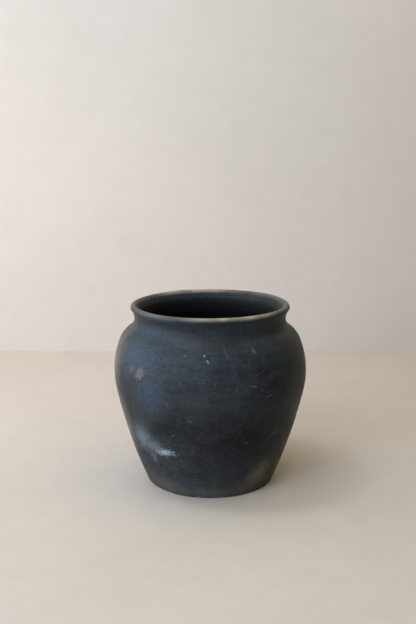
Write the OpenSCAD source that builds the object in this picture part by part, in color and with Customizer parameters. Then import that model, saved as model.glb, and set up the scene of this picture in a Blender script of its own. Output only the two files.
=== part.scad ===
// Round-bellied water pot of black-fired clay, hand built.
//
// A flat slab carries seven coils of clay, one on top of another.  Each coil
// was drawn up to the wall's thickness and luted to the one below on a
// bevelled lap: the seam runs down from the outside face to the inside face,
// so that the coil above is held inside the coil below.  The coils meet face
// to face with no gap, as fired clay does.
//
// The origin is the centre of the flat underside, and +Z points up through
// the mouth.  All lengths are in millimetres and all angles in degrees.

/* [Foot] */
// Radius of the flat underside that the pot stands on
foot_r = 85.2; // [80:0.2:90]
// Radius of the worn edge round the underside
arris_r = 2; // [1:0.5:4]
// Outward lean of the wall where it leaves the foot
foot_lean = 23.5; // [20:0.5:27]
// Thickness of the slab that the wall stands on
slab_t = 10; // [7:0.5:14]
// Radius of the clay pressed into the corner between wall and slab
fillet_r = 12; // [6:1:20]

/* [Wall] */
// Thickness of the wall, and so of the rounded lip
wall_t = 8.6; // [6:0.2:10]
// Radius of the outline up the flank, from the foot to the belly
flank_r = 650; // [500:10:800]
// Outward lean where the flank ends and the belly begins
belly_lean = 11.5; // [9:0.5:14]
// Radius of the outline over the belly
belly_r = 116; // [105:1:130]

/* [Shoulder and neck] */
// Lean where the belly ends and the shoulder begins, negative towards the axis
shoulder_lean = -21; // [-25:1:-17]
// Radius of the outline over the shoulder
shoulder_r = 35; // [30:1:42]
// Lean of the shoulder where it runs into the neck
neck_lean = -57; // [-60:1:-52]
// Radius of the hollow outline round the neck, up to the throat
throat_r = 16; // [12:0.5:22]
// Radius of the hollow outline from the throat out to the lip
flare_r = 18; // [12:0.5:26]
// Outward lean of the lip
lip_lean = 40; // [30:1:50]

/* [Coils] */
// How far down the wall each bevelled seam runs, from outside to inside
lap = 8; // [5:0.5:12]
// Height of the neck coil's seam below the foot of the neck, along the wall
neck_drop = 6.5; // [4:0.5:9]
// Length of wall that the lip coil takes below the rounded lip
lip_l = 9; // [8:0.5:12]

/* [Finish] */
// Colour of the smoked clay outside and on the mouth
smoked = "#2c3036"; // color
// Colour of the clay slab, which saw less smoke
slab_colour = "#33322f"; // color

/* [Hidden] */

// Facets round the pot
$fn = 180;
// Number of equal coils from the slab up to the neck
wall_coils = 5;
// Longest straight step along an outline
step_l = 2.5;
// Steps round the lip, round the fillet and up the edge of the slab
round_steps = 18;

// The outline of the outside, from the edge of the underside over the lip:
// each row is an arc's radius and the lean at its upper end.  The outline
// starts level, which is a lean of 90 degrees.
level = 90;
OUTLINE = [
    [arris_r, foot_lean],
    [flank_r, belly_lean],
    [belly_r, shoulder_lean],
    [shoulder_r, neck_lean],
    [throat_r, 0],
    [flare_r, lip_lean],
    [wall_t / 2, lip_lean - 180]
];
flank = 1;
shoulder = 3;
flare = 5;
lip = 6;

// Length of an arc of the given radius that changes the lean from a to b
function arc_l(r, a, b) = r * abs(b - a) * PI / 180;

// Length of the outline up to the end of arc number i
function run(i) =
    i < 0 ? 0 : run(i - 1) + arc_l(OUTLINE[i][0], i == 0 ? level : OUTLINE[i - 1][1], OUTLINE[i][1]);

// The centre of an arc that leaves point p at lean a, turning by the sign given
function centre(p, r, a, sign) = p + sign * r * [cos(a), -sin(a)];

// Point on the outline at distance s, moved in by depth, square to the wall
function at(s, depth, i = 0, p = [foot_r, 0], a = level) =
    let (
        r = OUTLINE[i][0],
        b = OUTLINE[i][1],
        sign = b > a ? 1 : -1,
        l = arc_l(r, a, b),
        lean = s < l ? a + (b - a) * s / l : b,
        c = centre(p, r, a, sign)
    )
    s <= l || i == lip
        ? c - (sign * r + depth) * [cos(lean), -sin(lean)]
        : at(s - l, depth, i + 1, c - sign * r * [cos(b), -sin(b)], b);

// Points along the outline from s0 to s1 at a depth, in n steps
function points(s0, s1, depth, n) = [for (i = [0:n]) at(s0 + (s1 - s0) * i / n, depth)];

// Steps that a stretch of wall from s0 to s1 needs
function steps(s0, s1) = ceil(abs(s1 - s0) / step_l);

// Points up the outside face and down the inside face of a stretch of wall
function outside(s0, s1) = points(s0, s1, 0, steps(s0, s1));
function inside(s0, s1) = points(s1, s0, wall_t, steps(s0, s1));

// Centre of the flank's arc, from which the slab's top and the fillet are found
flank_c = centre(at(run(flank - 1), 0), flank_r, foot_lean, -1);
// Distance along the flank at which the wall leans by the given angle
function flank_s(lean) = run(flank - 1) + arc_l(flank_r, foot_lean, lean);
// Where the outside face passes the slab's top
slab_s = flank_s(asin((flank_c[1] - slab_t) / flank_r));
// Lean, place and centre of the fillet where it leaves the inside face
fillet_lean = asin((flank_c[1] - slab_t - fillet_r) / (flank_r - wall_t - fillet_r));
fillet_s = flank_s(fillet_lean);
fillet_c = at(fillet_s, wall_t + fillet_r);

// Seams, as distances along the outside face
neck_s = run(shoulder) - neck_drop;
lip_s = run(flare) - lip_l;
coil_l = (neck_s - slab_s) / wall_coils;
function seam(i) = slab_s + coil_l * i;

// A solid of revolution from a closed list of [radius, height] points
module turned(outline) {
    rotate_extrude() polygon(outline);
}

// A coil with a bevelled seam below and above, at distances s0 and s1
module coil(s0, s1) {
    turned(concat(outside(s0, s1), inside(s0 - lap, s1 - lap)));
}

// The slab, with the worn edge of the foot and the start of the flank
module base_slab() {
    edge = points(0, slab_s, 0, round_steps);
    color(slab_colour) turned(concat([[0, 0]], edge, [[0, slab_t]]));
}

// The first coil, flat on the slab, with the fillet inside its foot
module foot_coil() {
    fillet = [
        for (i = [1:round_steps])
            let (lean = fillet_lean + (level - fillet_lean) * i / round_steps)
                fillet_c + fillet_r * [cos(lean), -sin(lean)]
    ];
    color(smoked)
        turned(concat(outside(slab_s, seam(1)), inside(fillet_s, seam(1) - lap), fillet));
}

// The coils up the flank and over the belly
module lower_wall_coil() {
    color(smoked) coil(seam(1), seam(2));
}

module upper_wall_coil() {
    color(smoked) coil(seam(2), seam(3));
}

module belly_coil() {
    color(smoked) coil(seam(3), seam(4));
}

// The coil that turns in to the neck
module shoulder_coil() {
    color(smoked) coil(seam(4), neck_s);
}

// The hollow-sided coil that holds the throat
module neck_coil() {
    color(smoked) coil(neck_s, lip_s);
}

// The flared coil with the rounded lip
module lip_coil() {
    rounded = points(run(flare), run(lip), 0, round_steps);
    color(smoked)
        turned(concat(outside(lip_s, run(flare)), rounded, inside(lip_s - lap, run(flare))));
}

base_slab();
foot_coil();
lower_wall_coil();
upper_wall_coil();
belly_coil();
shoulder_coil();
neck_coil();
lip_coil();
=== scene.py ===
"""Dresses the packed clay pot: hand-shaped wall pieces, smoked clay, a studio floor and soft light.

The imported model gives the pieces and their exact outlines.  Each piece is turned again from its own
outline with a much finer mesh, then shaped by hand work that depends only on place, so neighbouring
pieces still meet along their seams.  All lengths are metres unless a name ends in _MM or _mm.
"""

import itertools
import logging
import math
from dataclasses import dataclass
from enum import Enum

import bmesh
import bpy
import numpy as np
from mathutils import Euler, Matrix, Vector

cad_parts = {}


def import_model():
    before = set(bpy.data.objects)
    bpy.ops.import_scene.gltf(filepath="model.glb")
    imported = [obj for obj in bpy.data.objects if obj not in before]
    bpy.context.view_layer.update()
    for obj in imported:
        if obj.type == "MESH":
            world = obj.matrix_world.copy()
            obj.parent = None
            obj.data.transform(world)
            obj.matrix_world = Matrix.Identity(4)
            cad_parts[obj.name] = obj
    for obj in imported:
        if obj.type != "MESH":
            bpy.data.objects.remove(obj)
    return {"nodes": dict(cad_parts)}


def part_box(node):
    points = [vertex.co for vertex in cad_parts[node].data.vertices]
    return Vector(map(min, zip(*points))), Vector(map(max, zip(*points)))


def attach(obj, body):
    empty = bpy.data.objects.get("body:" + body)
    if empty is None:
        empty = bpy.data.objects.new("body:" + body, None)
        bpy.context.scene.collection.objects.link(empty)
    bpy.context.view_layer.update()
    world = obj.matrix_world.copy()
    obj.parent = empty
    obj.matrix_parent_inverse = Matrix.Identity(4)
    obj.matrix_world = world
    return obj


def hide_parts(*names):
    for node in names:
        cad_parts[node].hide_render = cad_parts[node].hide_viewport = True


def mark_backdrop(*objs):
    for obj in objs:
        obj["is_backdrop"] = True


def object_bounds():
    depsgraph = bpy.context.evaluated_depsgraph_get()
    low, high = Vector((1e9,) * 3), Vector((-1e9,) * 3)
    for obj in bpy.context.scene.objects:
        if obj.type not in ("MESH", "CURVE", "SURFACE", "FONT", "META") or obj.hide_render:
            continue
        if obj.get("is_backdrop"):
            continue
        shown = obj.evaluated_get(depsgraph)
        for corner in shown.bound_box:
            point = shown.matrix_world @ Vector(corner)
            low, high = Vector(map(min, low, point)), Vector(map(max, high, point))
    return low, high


LOG = logging.getLogger("clay_pot")
MM = 0.001

Colour = tuple[float, float, float, float]
Socket = bpy.types.NodeSocket
Tree = bpy.types.NodeTree


# ---- Shader writing ----


class Sheet:
    """Writes nodes into one node tree.

    Args:
        tree: the node tree of a material or a node group.
    """

    # A mix node's sockets for colours, by number: those for other values have the same names
    MIX_AMOUNT = 0
    MIX_UNDER = 6
    MIX_OVER = 7
    MIX_RESULT = 2
    DOT_CORE = 0.4

    def __init__(self, tree: Tree) -> None:
        """Keeps the tree that the nodes go into."""
        self.tree = tree

    def node(self, kind: str, **settings: object) -> bpy.types.Node:
        """Adds one node.

        Args:
            kind: Blender's name of the node type.
            settings: attributes to set on the node.

        Returns:
            The new node.
        """
        made = self.tree.nodes.new(kind)
        for name, value in settings.items():
            setattr(made, name, value)
        return made

    def feed(self, socket: Socket, value: object) -> None:
        """Links an output to a socket, or sets a plain value on it.

        Args:
            socket: the input to feed.
            value: an output socket, a number or a tuple.
        """
        if isinstance(value, Socket):
            self.tree.links.new(value, socket)
        else:
            socket.default_value = value

    def math(self, operation: str, *values: object, clamp: bool = False) -> Socket:
        """Adds a Math node fed with the values in order and returns its output."""
        made = self.node("ShaderNodeMath", operation=operation, use_clamp=clamp)
        for socket, value in zip(made.inputs, values):
            self.feed(socket, value)
        return made.outputs[0]

    def times(self, value: object, factor: object) -> Socket:
        """Returns two values multiplied."""
        return self.math("MULTIPLY", value, factor)

    def plus(self, value: object, extra: object, share: object) -> Socket:
        """Adds a share of one value to another and returns the sum."""
        return self.math("ADD", value, self.times(extra, share))

    def minus(self, value: object, less: object, share: object) -> Socket:
        """Takes a share of one value from another and returns what is left."""
        return self.math("SUBTRACT", value, self.times(less, share))

    def far(self, first: object, second: object) -> Socket:
        """Returns the distance that two numbers at right angles make."""
        square = self.times(first, first)
        return self.math("SQRT", self.plus(square, second, second))

    def remap(self, value: object, low: object, high: object,
              to: tuple[float, float] = (0.0, 1.0)) -> Socket:
        """Maps a value from low..high to another range, eased and held at its ends.

        Args:
            value: what is mapped.
            low: the value that gives the first end of the range.
            high: the value that gives the second end.
            to: the two ends of the new range.

        Returns:
            The mapped value.
        """
        made = self.node("ShaderNodeMapRange", interpolation_type="SMOOTHSTEP")
        for name, item in (("Value", value), ("From Min", low), ("From Max", high),
                           ("To Min", to[0]), ("To Max", to[1])):
            self.feed(made.inputs[name], item)
        return made.outputs["Result"]

    def colour(self, amount: object, under: object, over: object) -> Socket:
        """Lays one colour over another.

        Args:
            amount: how much of the upper colour shows, 0 to 1.
            under: the lower colour.
            over: the upper colour.

        Returns:
            The mixed colour.
        """
        made = self.node("ShaderNodeMix", data_type="RGBA")
        self.feed(made.inputs[self.MIX_AMOUNT], amount)
        self.feed(made.inputs[self.MIX_UNDER], under)
        self.feed(made.inputs[self.MIX_OVER], over)
        return made.outputs[self.MIX_RESULT]

    def tint(self, mask: object, share: float, under: object, over: object) -> Socket:
        """Lays a colour over another where a mask shows, at a share of its strength."""
        return self.colour(self.times(mask, share), under, over)

    def noise(self, vector: object, scale: float, detail: float = 3.0, roughness: float = 0.55,
              distortion: float = 0.0) -> Socket:
        """Adds a noise texture and returns its value, about 0.3 to 0.7.

        Args:
            vector: where it is read.
            scale: cells per metre.
            detail: how many finer layers it has.
            roughness: how strong the finer layers are.
            distortion: how far it is swirled.

        Returns:
            The noise value.
        """
        made = self.node("ShaderNodeTexNoise", noise_dimensions="3D")
        self.feed(made.inputs["Vector"], vector)
        for name, item in (("Scale", scale), ("Detail", detail), ("Roughness", roughness),
                           ("Distortion", distortion)):
            made.inputs[name].default_value = item
        return made.outputs[0]

    def dots(self, vector: object, scale: float, size: float) -> Socket:
        """Scatters small soft dots.

        Args:
            vector: where.
            scale: how many cells with a dot there are in a metre.
            size: a dot's radius, as a share of its cell.

        Returns:
            1 in the dots and 0 between them.
        """
        made = self.node("ShaderNodeTexVoronoi", feature="F1", distance="EUCLIDEAN")
        self.feed(made.inputs["Vector"], vector)
        made.inputs["Scale"].default_value = scale
        return self.remap(made.outputs["Distance"], size, self.DOT_CORE * size)

    def levelled(self, vector: object, squeeze: float) -> Socket:
        """Squeezes coordinates upright, which draws what is read there out into level lines."""
        made = self.node("ShaderNodeMapping")
        self.feed(made.inputs["Vector"], vector)
        made.inputs["Scale"].default_value = (1.0, 1.0, squeeze)
        return made.outputs[0]

    def group(self, tree: Tree, **values: object) -> bpy.types.NodeOutputs:
        """Places a node group and feeds its inputs by name, with _ for a space.

        Args:
            tree: the node group.
            values: one value or output socket for each input.

        Returns:
            The group's outputs.
        """
        made = self.node("ShaderNodeGroup", node_tree=tree)
        for name, value in values.items():
            self.feed(made.inputs[name.replace("_", " ")], value)
        return made.outputs


class GroupSheet(Sheet):
    """A sheet on a new node group, whose sockets are numbers, apart from the vector Point.

    Args:
        name: the group's name.
        inputs: names of its inputs.
        outputs: names of its outputs.
    """

    def __init__(self, name: str, inputs: tuple[str, ...], outputs: tuple[str, ...]) -> None:
        """Makes the group and its sockets."""
        tree = bpy.data.node_groups.new(name, "ShaderNodeTree")
        super().__init__(tree)
        for direction, sockets in (("INPUT", inputs), ("OUTPUT", outputs)):
            for socket in sockets:
                kind = "NodeSocketVector" if socket == "Point" else "NodeSocketFloat"
                tree.interface.new_socket(socket, in_out=direction, socket_type=kind)
        self.source = self.node("NodeGroupInput")
        self.sink = self.node("NodeGroupOutput")

    def given(self, name: str) -> Socket:
        """Returns one of the group's inputs as an output to read from."""
        return self.source.outputs[name]

    def put(self, name: str, value: object) -> None:
        """Feeds one of the group's outputs."""
        self.feed(self.sink.inputs[name], value)


class ClayEffects:
    """The node groups that every clay finish shares, each built once."""

    NOISE_MIDDLE = 0.5
    MARK_SPREAD = 9.0
    SCRATCH_EDGE = (0.010, 0.002)
    SCRATCH_PARTS = (0.52, 0.62)
    GRIT_SHOWS = (0.62, 0.72)
    PITS_SHOW = (0.57, 0.64)
    SPECKS_SHOW = (0.60, 0.64)

    def __init__(self) -> None:
        """Builds the groups."""
        self.place = self._place()
        self.mark = self._mark()
        self.wiping = self._wiping()
        self.grain = self._grain()
        self.mottle = self._mottle()

    @staticmethod
    def _place() -> Tree:
        """Builds the group that turns a point into its angle, distance out and height."""
        sheet = GroupSheet("place_on_pot", ("Point",), ("Around", "Out", "Up"))
        split = sheet.node("ShaderNodeSeparateXYZ")
        sheet.feed(split.inputs[0], sheet.given("Point"))
        x, y, up = split.outputs
        sheet.put("Around", sheet.math("ARCTAN2", y, x))
        sheet.put("Out", sheet.far(x, y))
        sheet.put("Up", up)
        return sheet.tree

    def _mark(self) -> Tree:
        """Builds the group for one mark: a streaky, ragged oval laid on the wall."""
        sheet = GroupSheet(
            "mark_on_wall",
            ("Around", "Out", "Up", "At Around", "At Up", "Long", "Wide", "Tilt", "Grain",
             "Streaks", "Roughly", "Soft", "Strength"),
            ("Mask",))
        turn = sheet.math("SUBTRACT", sheet.given("Around"), sheet.given("At Around"))
        turn = sheet.math("WRAP", turn, math.pi, -math.pi)
        across = sheet.times(turn, sheet.given("Out"))
        rise = sheet.math("SUBTRACT", sheet.given("Up"), sheet.given("At Up"))
        cos = sheet.math("COSINE", sheet.given("Tilt"))
        sin = sheet.math("SINE", sheet.given("Tilt"))
        along = sheet.plus(sheet.times(across, cos), rise, sin)
        beside = sheet.minus(sheet.times(rise, cos), across, sin)
        level = sheet.math("DIVIDE", along, sheet.given("Grain"))
        upright = sheet.math("DIVIDE", beside, sheet.given("Grain"))
        upright = sheet.times(upright, sheet.given("Streaks"))
        apart = sheet.times(sheet.given("At Around"), self.MARK_SPREAD)
        # Each node is made after those that feed it, which keeps few values alive at once
        spot = sheet.node("ShaderNodeCombineXYZ")
        for socket, value in zip(spot.inputs, (level, upright, apart)):
            sheet.feed(socket, value)
        ragged = sheet.noise(spot.outputs[0], scale=1.0, detail=4.0, roughness=0.62)
        ragged = sheet.math("SUBTRACT", ragged, self.NOISE_MIDDLE)
        far = sheet.far(sheet.math("DIVIDE", along, sheet.given("Long")),
                        sheet.math("DIVIDE", beside, sheet.given("Wide")))
        far = sheet.plus(far, ragged, sheet.given("Roughly"))
        inner = sheet.math("SUBTRACT", 1.0, sheet.given("Soft"))
        mask = sheet.times(sheet.remap(far, 1.0, inner), sheet.given("Strength"))
        sheet.put("Mask", mask)
        return sheet.tree

    def _wiping(self) -> Tree:
        """Builds the group for the level lines that a wet hand leaves, and for fine scratches."""
        sheet = GroupSheet("hand_wiping", ("Point",), ("Bands", "Lines", "Scratches"))
        point = sheet.given("Point")
        bands = sheet.noise(sheet.levelled(point, squeeze=9.0), scale=14.0, detail=4.0,
                            roughness=0.6)
        sheet.put("Bands", bands)
        lines = sheet.noise(sheet.levelled(point, squeeze=20.0), scale=38.0, roughness=0.65)
        sheet.put("Lines", lines)
        wandering = sheet.noise(sheet.levelled(point, squeeze=2.6), scale=26.0, detail=1.0,
                                roughness=0.4, distortion=0.6)
        away = sheet.math("ABSOLUTE", sheet.math("SUBTRACT", wandering, self.NOISE_MIDDLE))
        line = sheet.remap(away, *self.SCRATCH_EDGE)
        parts = sheet.remap(sheet.noise(point, scale=95.0, detail=2.0), *self.SCRATCH_PARTS)
        sheet.put("Scratches", sheet.times(line, parts))
        return sheet.tree

    def _grain(self) -> Tree:
        """Builds the group for the clay's own grain: fine tooth, grit, small pits, pale specks."""
        sheet = GroupSheet("clay_grain", ("Point",), ("Tooth", "Grit", "Pits", "Specks"))
        point = sheet.given("Point")
        sheet.put("Tooth", sheet.noise(point, scale=1300.0, roughness=0.6))
        grit = sheet.noise(point, scale=520.0, detail=2.0, roughness=0.5)
        sheet.put("Grit", sheet.remap(grit, *self.GRIT_SHOWS))
        chosen = sheet.remap(sheet.noise(point, scale=60.0, detail=1.0), *self.PITS_SHOW)
        pits = sheet.dots(point, scale=150.0, size=0.16)
        sheet.put("Pits", sheet.times(pits, chosen))
        rare = sheet.remap(sheet.noise(point, scale=43.0, detail=2.0), *self.SPECKS_SHOW)
        specks = sheet.dots(point, scale=240.0, size=0.20)
        sheet.put("Specks", sheet.times(specks, rare))
        return sheet.tree

    @staticmethod
    def _mottle() -> Tree:
        """Builds the group for uneven smoking: broad clouds, blotches and small freckles."""
        sheet = GroupSheet("uneven_smoke", ("Point",), ("Clouds", "Blotches", "Freckles"))
        point = sheet.given("Point")
        clouds = sheet.noise(point, scale=11.0, roughness=0.5, distortion=0.4)
        sheet.put("Clouds", clouds)
        blotches = sheet.noise(point, scale=48.0, detail=4.0, roughness=0.62, distortion=0.3)
        sheet.put("Blotches", blotches)
        sheet.put("Freckles", sheet.noise(point, scale=230.0, roughness=0.6))
        return sheet.tree


# ---- Marks of use and firing ----


class MarkKind(Enum):
    """What a mark on the wall is made of, or the painted light or shade that it stands for: its
    colour, and how far apart its grains are.
    """

    DARK_PATCH = ((0.0045, 0.0048, 0.0056, 1.0), 0.016)
    # Ash bloom, and also a painted bluish sheen of reflected light
    ASH_AND_PAINTED_SHEEN = ((0.0520, 0.0750, 0.1080, 1.0), 0.009)
    # Dust, and also a painted grazing sheen near the left edge
    DUST_AND_PAINTED_SHEEN = ((0.1750, 0.1570, 0.1180, 1.0), 0.008)
    BROWN = ((0.1650, 0.1300, 0.0800, 1.0), 0.012)
    CHALK = ((0.3100, 0.3950, 0.4700, 1.0), 0.0042)
    TAN = ((0.1750, 0.1600, 0.1200, 1.0), 0.0040)
    CHIP = ((0.3600, 0.3700, 0.3700, 1.0), 0.0030)
    # Painted shade in a pit, not a colour of the clay
    PAINTED_PIT_SHADE = ((0.0020, 0.0020, 0.0020, 1.0), 0.0030)

    @property
    def colour(self) -> Colour:
        """Returns the colour of what the mark is made of."""
        return self.value[0]

    @property
    def grain(self) -> float:
        """Returns how far apart the mark's grains are."""
        return self.value[1]


# What lies under the wiping lines and the dust, and what lies over them
UNDER_WIPING = (MarkKind.DARK_PATCH, MarkKind.ASH_AND_PAINTED_SHEEN, MarkKind.DUST_AND_PAINTED_SHEEN, MarkKind.BROWN)
OVER_WIPING = (MarkKind.CHALK, MarkKind.TAN, MarkKind.CHIP, MarkKind.PAINTED_PIT_SHADE)


@dataclass(frozen=True)
class Mark:
    """One patch, smear or scratch on the outside of the wall, or a patch of painted sheen or shade.

    Args:
        kind: what it is made of.
        azimuth: where it is round the pot, in degrees; -90 faces the viewer.
        height_mm: how far it is above the foot.
        long_mm: half its length.
        wide_mm: half its width.
        tilt: how far its length leans from level, in degrees, rising to the right.
        roughly: how ragged it is.
        soft: how far its edge fades, as a share of its size.
        strength: how strongly it covers the clay.
        streaks: how much finer its grains are across it than along it.
    """

    kind: MarkKind
    azimuth: float
    height_mm: float
    long_mm: float
    wide_mm: float
    tilt: float
    roughly: float
    soft: float
    strength: float
    streaks: float

    RAGGED_REACH = 0.5

    def meets(self, low_mm: float, high_mm: float) -> bool:
        """Returns true if any of the mark can lie between two heights."""
        lean = math.radians(self.tilt)
        reach = math.hypot(self.long_mm * math.sin(lean), self.wide_mm * math.cos(lean))
        reach *= 1.0 + self.RAGGED_REACH * self.roughly
        return low_mm < self.height_mm + reach and high_mm > self.height_mm - reach


def marks_of(kind: MarkKind, *rows: tuple[float, ...]) -> tuple[Mark, ...]:
    """Makes marks of one kind.

    Args:
        kind: what they are made of.
        rows: for each mark its other values, in the order that Mark names them.

    Returns:
        The marks.
    """
    return tuple(Mark(kind, *row) for row in rows)


# Broad patches come first, and finer marks lie over them.  Within a kind, those that face the
# viewer come before those round the sides and the back.  Each row gives azimuth, height_mm,
# long_mm, wide_mm, tilt, roughly, soft, strength and streaks.
MARKS = (
    # Darker patches; the broadest lies low on the front, to the right
    *marks_of(
        MarkKind.DARK_PATCH,
        (-146, 118, 34, 10, 82, 0.9, 1.0, 0.50, 1.0),
        (-64, 88, 130, 72, 0, 0.7, 1.0, 0.95, 1.4),
        (-116, 106, 46, 26, 6, 0.9, 1.0, 0.75, 1.4),
        (-50, 140, 60, 44, 72, 1.0, 1.0, 0.60, 1.0),
        (74, 66, 70, 46, 14, 0.9, 1.0, 0.70, 1.2),
        (128, 150, 54, 38, -60, 0.9, 1.0, 0.60, 1.2),
    ),
    # Blue-grey ash bloom, and a painted sheen: the first four rows, high on the front left, paint the
    # bluish reflection of cool light
    *marks_of(
        MarkKind.ASH_AND_PAINTED_SHEEN,
        (-140, 188, 74, 40, 0, 0.8, 1.0, 0.95, 4.0),
        (-128, 152, 46, 56, 0, 0.9, 1.0, 0.75, 3.0),
        (-134, 218, 66, 16, 0, 0.8, 1.0, 0.70, 3.0),
        (-130, 239, 66, 8, 0, 0.8, 1.0, 0.60, 2.0),
        (-116, 18, 60, 22, -5, 0.9, 1.0, 0.34, 3.0),
        (24, 170, 62, 40, 40, 1.0, 1.0, 0.55, 1.0),
        (150, 96, 52, 34, 70, 1.0, 1.0, 0.50, 1.0),
    ),
    # Pale dust, and a painted sheen: the first two rows are upright strips near the left edge that
    # paint a grazing reflection
    *marks_of(
        MarkKind.DUST_AND_PAINTED_SHEEN,
        (-168, 172, 74, 40, 90, 0.6, 1.0, 0.85, 1.0),
        (-162, 92, 60, 34, 90, 0.6, 1.0, 0.80, 1.0),
        (-104, 213, 50, 8, 0, 1.0, 1.0, 0.14, 3.0),
        (-128, 12, 52, 16, -6, 1.0, 1.0, 0.34, 3.0),
        (-86, 10, 44, 10, 0, 1.2, 1.0, 0.24, 2.0),
        (2, 120, 74, 18, 90, 0.8, 1.0, 0.26, 1.0),
        (88, 20, 54, 14, 4, 1.1, 1.0, 0.30, 2.0),
    ),
    # Brown clouds where a pot touched its neighbour in the fire; the faint second row, high on the
    # right, is a painted warm reflection
    *marks_of(
        MarkKind.BROWN,
        (-50, 28, 34, 27, 60, 0.6, 1.0, 0.92, 1.0),
        (-20, 190, 64, 50, 0, 0.6, 1.0, 0.12, 1.0),
        (-62, 13, 26, 13, 14, 1.0, 1.0, 0.45, 1.0),
        (-158, 66, 30, 9, 76, 1.0, 1.0, 0.40, 1.0),
        (58, 118, 38, 27, 24, 1.0, 1.0, 0.36, 1.0),
        (164, 60, 32, 20, -40, 1.0, 1.0, 0.36, 1.0),
    ),
    # The chalky smear low on the left
    *marks_of(
        MarkKind.CHALK,
        (-140, 80, 26, 26, 84, 2.8, 1.0, 0.36, 2.4),
        (-129, 72, 25, 14, -8, 2.2, 1.0, 0.32, 2.0),
        (-141, 86, 12, 3.0, 84, 2.0, 0.9, 0.26, 2.5),
        (-134, 70, 9, 4.4, -30, 2.6, 0.9, 0.40, 2.0),
        (-121.5, 66.5, 17, 5.6, 6, 3.4, 0.7, 0.85, 2.4),
        (-133, 55, 12, 7, -76, 2.4, 1.0, 0.22, 2.0),
    ),
    # Fine pale smears and scratches
    *marks_of(
        MarkKind.CHALK,
        (-105, 200, 2.4, 1.6, 0, 1.2, 0.8, 0.12, 1.0),
        (-63, 204, 5.5, 3.0, -76, 2.4, 0.9, 0.18, 2.0),
        (-66, 162, 12, 0.7, -10, 1.4, 0.9, 0.26, 1.0),
        (-60, 156, 6, 0.6, -22, 1.4, 0.9, 0.18, 1.0),
        (-102, 118, 5, 2.4, -12, 2.4, 0.9, 0.14, 2.0),
        (-115, 137, 1.0, 4.5, 0, 1.4, 0.9, 0.14, 1.0),
        (-67, 84, 6, 1.0, 0, 2.0, 0.9, 0.15, 1.0),
        (-46, 89, 13, 1.4, 26, 2.2, 0.9, 0.21, 2.0),
        (12, 62, 15, 6, -12, 3.2, 0.8, 0.34, 2.6),
        (118, 96, 11, 7, 50, 3.2, 0.8, 0.30, 2.6),
        (-168, 150, 9, 5, -30, 3.0, 0.8, 0.20, 2.4),
        (78, 148, 13, 0.8, -14, 1.6, 0.9, 0.26, 1.0),
        (-22, 106, 8, 1.0, 20, 1.8, 0.9, 0.22, 1.0),
    ),
    # Bare tan patches, dashes and worn spots
    *marks_of(
        MarkKind.TAN,
        (-134, 171, 12.0, 8.5, 40, 1.9, 0.6, 0.68, 1.2),
        (-141, 174, 8, 6, 0, 2.2, 0.8, 0.36, 1.2),
        (-81, 205.5, 14, 0.7, -77, 0.9, 0.9, 0.32, 1.0),
        (-57, 160, 8, 0.5, -16, 0.9, 0.9, 0.40, 1.0),
        (-49, 149, 9, 0.5, -8, 0.9, 0.9, 0.36, 1.0),
        (-63, 150, 6, 0.5, -20, 0.9, 0.9, 0.30, 1.0),
        (-106.5, 167, 1.8, 1.2, 60, 1.2, 0.7, 0.40, 1.0),
        (-55.5, 146, 7.0, 0.8, 12, 0.8, 0.8, 0.70, 1.0),
        (-113, 94.5, 3.4, 1.1, 22, 1.4, 0.7, 0.50, 1.0),
        (-101, 31, 5, 0.8, 4, 1.8, 0.9, 0.42, 1.0),
        (-101, 2, 6, 1.6, 0, 1.8, 0.6, 0.60, 1.0),
        (21, 176, 6, 4, 30, 2.4, 0.6, 0.40, 1.2),
        (96, 187, 5, 3, -20, 2.4, 0.6, 0.40, 1.2),
        (133, 121, 8, 0.7, 16, 0.9, 0.8, 0.40, 1.0),
        (-14, 138, 7, 0.7, -34, 0.9, 0.8, 0.40, 1.0),
        (36, 3, 9, 1.8, 0, 1.8, 0.6, 0.50, 1.0),
        (150, 3, 7, 1.8, 0, 1.8, 0.6, 0.50, 1.0),
    ),
    # Small white chips
    *marks_of(
        MarkKind.CHIP,
        (-93.6, 201, 1.9, 1.3, 60, 0.8, 0.6, 0.60, 1.0),
        (-91.6, 194.5, 3.4, 1.4, -55, 1.0, 0.7, 0.66, 1.0),
        (-72.5, 184, 0.9, 0.8, 0, 0.8, 0.7, 0.35, 1.0),
        (-75.5, 159, 1.1, 1.0, 0, 0.8, 0.7, 0.30, 1.0),
        (40, 196, 2.4, 0.9, -48, 1.0, 0.6, 0.50, 1.0),
        (140, 152, 1.5, 1.2, 20, 0.8, 0.6, 0.40, 1.0),
    ),
    # Painted shade in the deep pit
    *marks_of(
        MarkKind.PAINTED_PIT_SHADE,
        (-128.6, 43.3, 1.9, 1.7, 0, 0.2, 0.5, 1.0, 1.0),
    ),
)


# ---- Finishes ----


@dataclass(frozen=True)
class ClayFinish:
    """Black-fired, unglazed clay.

    Args:
        name: the finish's name, which is that of the record's material slot.
        dark: the colour where the smoke went deepest.
        pale: the colour where the clay is worn or thinly smoked.
        roughness: the middle of the surface's roughness.
        soot_and_shade: the colour of the painted shade inside and in the small pits, and of the
            smoke-black lines and freckles.
        dust: the colour of dust that has settled on the clay.
        rubbed: the colour where hands and tables wore the clay bare.
        sheen: weight of the dusty sheen.
        specular: strength of the reflection.
        specular_tint: colour of the reflection.
    """

    name: str
    dark: Colour = (0.0142, 0.0168, 0.0197, 1.0)
    pale: Colour = (0.0395, 0.0465, 0.0535, 1.0)
    roughness: float = 0.50
    # Smoke-black of lines and freckles, also used for painted shade inside and in the small pits
    soot_and_shade: Colour = (0.0075, 0.0075, 0.0080, 1.0)
    dust: Colour = (0.0900, 0.0900, 0.0780, 1.0)
    rubbed: Colour = (0.3600, 0.3150, 0.2100, 1.0)
    sheen: float = 0.025
    specular: float = 0.14
    specular_tint: Colour = (0.90, 0.95, 1.00, 1.0)


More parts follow.
